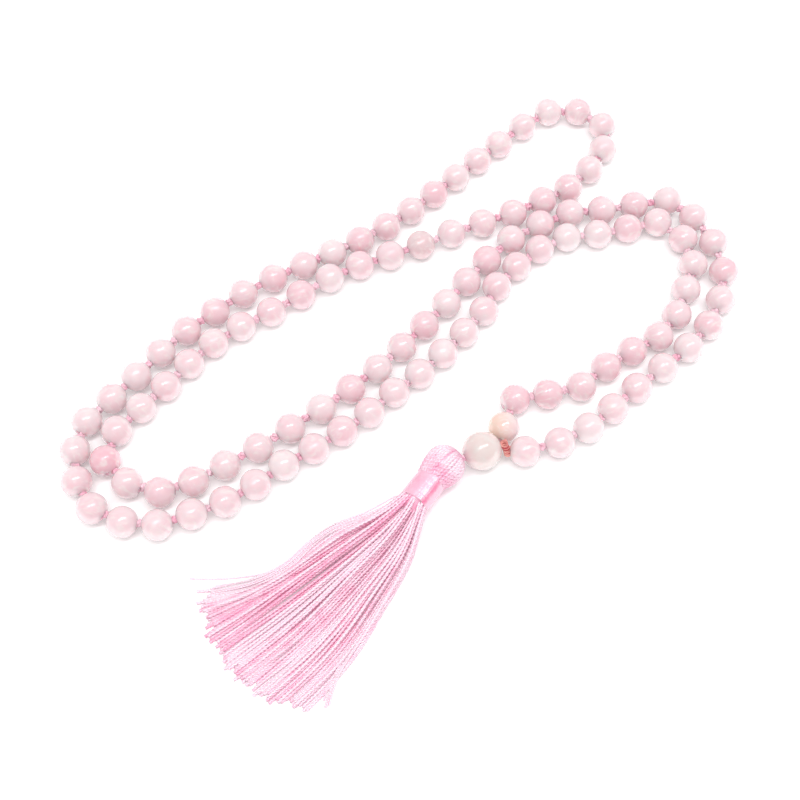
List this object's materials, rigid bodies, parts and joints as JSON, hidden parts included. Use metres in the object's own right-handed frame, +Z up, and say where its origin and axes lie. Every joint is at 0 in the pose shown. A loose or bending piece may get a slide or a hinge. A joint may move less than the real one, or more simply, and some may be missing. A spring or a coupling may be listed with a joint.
{
  "type": "mala prayer beads",
  "caption": "Hand-knotted loop of round rose quartz prayer beads laid out on a table in long bends, with a larger pale guru bead and a pink tassel of twisted cords.",
  "frame": {"origin": "on the table, under the middle of the whole layout", "axes": "+Z is up from the table and +Y points away from the tassel's cut ends, so the tassel lies at -Y and the loop's far bend at +Y"},
  "size_m": [0.1793, 0.1817, 0.0101],
  "materials": {
    "rose_quartz": "polished cloudy rose quartz, slightly translucent, with small knots of pink thread between the beads",
    "pale_quartz": "polished milky quartz, almost white",
    "gather_thread": "tightly knotted orange-red thread",
    "tassel_thread": "pink two-ply twisted cord with a soft sheen",
    "satin_thread": "smooth deep pink thread wound side by side, glossy as satin"
  },
  "bodies": {
    "guru": {"guru_bead": "pale_quartz", "gather_knot": "gather_thread"},
    "strand_a_01": {"beads_001_002": "rose_quartz"},
    "strand_a_02": {"beads_003_004": "rose_quartz", "beads_005_006": "rose_quartz"},
    "strand_a_03": {"beads_007_008": "rose_quartz", "beads_009_010": "rose_quartz"},
    "strand_a_04": {"beads_011_012": "rose_quartz", "beads_013_014": "rose_quartz"},
    "strand_a_05": {"beads_015_016": "rose_quartz", "beads_017_018": "rose_quartz"},
    "strand_a_06": {"beads_019_020": "rose_quartz", "beads_021_022": "rose_quartz"},
    "strand_a_07": {"beads_023_024": "rose_quartz", "beads_025_026": "rose_quartz"},
    "strand_a_08": {"beads_027_028": "rose_quartz", "beads_029_030": "rose_quartz"},
    "strand_a_09": {"beads_031_032": "rose_quartz", "beads_033_034": "rose_quartz"},
    "strand_a_10": {"beads_035_036": "rose_quartz", "beads_037_038": "rose_quartz"},
    "strand_a_11": {"beads_039_040": "rose_quartz", "beads_041_042": "rose_quartz"},
    "strand_a_12": {"beads_043_044": "rose_quartz", "beads_045_046": "rose_quartz"},
    "strand_a_13": {"beads_047_048": "rose_quartz", "beads_049_050": "rose_quartz"},
    "strand_a_14": {"beads_051_052": "rose_quartz", "beads_053_054": "rose_quartz"},
    "strand_b_01": {"beads_107_108": "rose_quartz"},
    "strand_b_02": {"beads_105_106": "rose_quartz", "beads_103_104": "rose_quartz"},
    "strand_b_03": {"beads_101_102": "rose_quartz", "beads_099_100": "rose_quartz"},
    "strand_b_04": {"beads_097_098": "rose_quartz", "beads_095_096": "rose_quartz"},
    "strand_b_05": {"beads_093_094": "rose_quartz", "beads_091_092": "rose_quartz"},
    "strand_b_06": {"beads_089_090": "rose_quartz", "beads_087_088": "rose_quartz"},
    "strand_b_07": {"beads_085_086": "rose_quartz", "beads_083_084": "rose_quartz"},
    "strand_b_08": {"beads_081_082": "rose_quartz", "beads_079_080": "rose_quartz"},
    "strand_b_09": {"beads_077_078": "rose_quartz", "beads_075_076": "rose_quartz"},
    "strand_b_10": {"beads_073_074": "rose_quartz", "beads_071_072": "rose_quartz"},
    "strand_b_11": {"beads_069_070": "rose_quartz", "beads_067_068": "rose_quartz"},
    "strand_b_12": {"beads_065_066": "rose_quartz", "beads_063_064": "rose_quartz"},
    "strand_b_13": {"beads_061_062": "rose_quartz", "beads_059_060": "rose_quartz"},
    "strand_b_14": {"beads_057_058": "rose_quartz", "beads_055_056": "rose_quartz"},
    "tassel_loop": {"tassel_loop_knot": "tassel_thread"},
    "tassel": {"tassel_head": "tassel_thread", "tassel_band": "satin_thread", "tassel_skirt": "tassel_thread"}
  },
  "joints": [
    {"name": "strand_a_01_lift", "type": "hinge", "parent": "guru", "child": "strand_a_01", "pos_m": [0.018, -0.0253, 0.005], "axis": [0.7773, -0.6292, 0], "range_deg": [0, 20]},
    {"name": "strand_a_02_lift", "type": "hinge", "parent": "strand_a_01", "child": "strand_a_02", "pos_m": [0.02706, -0.00988, 0.004], "axis": [0.1835, -0.983, 0], "range_deg": [0, 20]},
    {"name": "strand_a_03_lift", "type": "hinge", "parent": "strand_a_02", "child": "strand_a_03", "pos_m": [0.05871, 0.00479, 0.004], "axis": [0.5222, -0.8528, 0], "range_deg": [0, 20]},
    {"name": "strand_a_04_lift", "type": "hinge", "parent": "strand_a_03", "child": "strand_a_04", "pos_m": [0.07782, 0.03254, 0.004], "axis": [0.9759, 0.2182, 0], "range_deg": [0, 20]},
    {"name": "strand_a_05_lift", "type": "hinge", "parent": "strand_a_04", "child": "strand_a_05", "pos_m": [0.0523, 0.04278, 0.004], "axis": [-0.1274, 0.9919, 0], "range_deg": [0, 20]},
    {"name": "strand_a_06_lift", "type": "hinge", "parent": "strand_a_05", "child": "strand_a_06", "pos_m": [0.02357, 0.02524, 0.004], "axis": [-0.9029, 0.4299, 0], "range_deg": [0, 20]},
    {"name": "strand_a_07_lift", "type": "hinge", "parent": "strand_a_06", "child": "strand_a_07", "pos_m": [0.00236, -0.00222, 0.004], "axis": [-0.6412, 0.7674, 0], "range_deg": [0, 20]},
    {"name": "strand_a_08_lift", "type": "hinge", "parent": "strand_a_07", "child": "strand_a_08", "pos_m": [-0.02475, -0.02427, 0.004], "axis": [-0.5324, 0.8465, 0], "range_deg": [0, 20]},
    {"name": "strand_a_09_lift", "type": "hinge", "parent": "strand_a_08", "child": "strand_a_09", "pos_m": [-0.05447, -0.04242, 0.004], "axis": [-0.3332, 0.9429, 0], "range_deg": [0, 40]},
    {"name": "strand_a_10_lift", "type": "hinge", "parent": "strand_a_09", "child": "strand_a_10", "pos_m": [-0.08403, -0.03345, 0.004], "axis": [0.9871, 0.1598, 0], "range_deg": [0, 40]},
    {"name": "strand_a_11_lift", "type": "hinge", "parent": "strand_a_10", "child": "strand_a_11", "pos_m": [-0.07186, -0.0029, 0.004], "axis": [0.776, -0.6308, 0], "range_deg": [0, 40]},
    {"name": "strand_a_12_lift", "type": "hinge", "parent": "strand_a_11", "child": "strand_a_12", "pos_m": [-0.04534, 0.02293, 0.004], "axis": [0.5431, -0.8396, 0], "range_deg": [0, 40]},
    {"name": "strand_a_13_lift", "type": "hinge", "parent": "strand_a_12", "child": "strand_a_13", "pos_m": [-0.01391, 0.0407, 0.004], "axis": [0.5547, -0.8321, 0], "range_deg": [0, 40]},
    {"name": "strand_a_14_lift", "type": "hinge", "parent": "strand_a_13", "child": "strand_a_14", "pos_m": [0.01314, 0.0628, 0.004], "axis": [0.6925, -0.7214, 0], "range_deg": [0, 40]},
    {"name": "strand_b_01_lift", "type": "hinge", "parent": "guru", "child": "strand_b_01", "pos_m": [0.018, -0.0253, 0.005], "axis": [0.0273, -0.9996, 0], "range_deg": [0, 21]},
    {"name": "strand_b_02_lift", "type": "hinge", "parent": "strand_b_01", "child": "strand_b_02", "pos_m": [0.03796, -0.02252, 0.004], "axis": [0.4855, -0.8742, 0], "range_deg": [0, 40]},
    {"name": "strand_b_03_lift", "type": "hinge", "parent": "strand_b_02", "child": "strand_b_03", "pos_m": [0.06639, -0.00043, 0.004], "axis": [0.6433, -0.7656, 0], "range_deg": [0, 40]},
    {"name": "strand_b_04_lift", "type": "hinge", "parent": "strand_b_03", "child": "strand_b_04", "pos_m": [0.08593, 0.03029, 0.004], "axis": [0.9854, 0.1702, 0], "range_deg": [0, 25]},
    {"name": "strand_b_05_lift", "type": "hinge", "parent": "strand_b_04", "child": "strand_b_05", "pos_m": [0.06324, 0.05282, 0.004], "axis": [-0.1906, 0.9817, 0], "range_deg": [0, 25]},
    {"name": "strand_b_06_lift", "type": "hinge", "parent": "strand_b_05", "child": "strand_b_06", "pos_m": [0.02811, 0.04093, 0.004], "axis": [-0.707, 0.7072, 0], "range_deg": [0, 25]},
    {"name": "strand_b_07_lift", "type": "hinge", "parent": "strand_b_06", "child": "strand_b_07", "pos_m": [0.00374, 0.01278, 0.004], "axis": [-0.7467, 0.6652, 0], "range_deg": [0, 25]},
    {"name": "strand_b_08_lift", "type": "hinge", "parent": "strand_b_07", "child": "strand_b_08", "pos_m": [-0.02317, -0.01266, 0.004], "axis": [-0.5951, 0.8036, 0], "range_deg": [0, 25]},
    {"name": "strand_b_09_lift", "type": "hinge", "parent": "strand_b_08", "child": "strand_b_09", "pos_m": [-0.05462, -0.03337, 0.004], "axis": [-0.3404, 0.9403, 0], "range_deg": [0, 25]},
    {"name": "strand_b_10_lift", "type": "hinge", "parent": "strand_b_09", "child": "strand_b_10", "pos_m": [-0.07538, -0.01916, 0.004], "axis": [0.7668, -0.6419, 0], "range_deg": [0, 25]},
    {"name": "strand_b_11_lift", "type": "hinge", "parent": "strand_b_10", "child": "strand_b_11", "pos_m": [-0.05235, 0.00718, 0.004], "axis": [0.5931, -0.8051, 0], "range_deg": [0, 25]},
    {"name": "strand_b_12_lift", "type": "hinge", "parent": "strand_b_11", "child": "strand_b_12", "pos_m": [-0.02197, 0.02801, 0.004], "axis": [0.4656, -0.885, 0], "range_deg": [0, 25]},
    {"name": "strand_b_13_lift", "type": "hinge", "parent": "strand_b_12", "child": "strand_b_13", "pos_m": [0.0115, 0.043, 0.004], "axis": [0.3758, -0.9267, 0], "range_deg": [0, 25]},
    {"name": "strand_b_14_lift", "type": "hinge", "parent": "strand_b_13", "child": "strand_b_14", "pos_m": [0.04505, 0.05898, 0.004], "axis": [0.7108, -0.7034, 0], "range_deg": [0, 25]},
    {"name": "tassel_swing", "type": "hinge", "parent": "guru", "child": "tassel_loop", "pos_m": [0.018, -0.0253, 0.005], "axis": [0, 0, 1], "range_deg": [-8, 90]},
    {"name": "tassel_lift", "type": "hinge", "parent": "tassel_loop", "child": "tassel", "pos_m": [0.0075, -0.0301, 0.0052], "axis": [-0.8089, 0.5879, 0], "range_deg": [0, 60]}
  ]
}
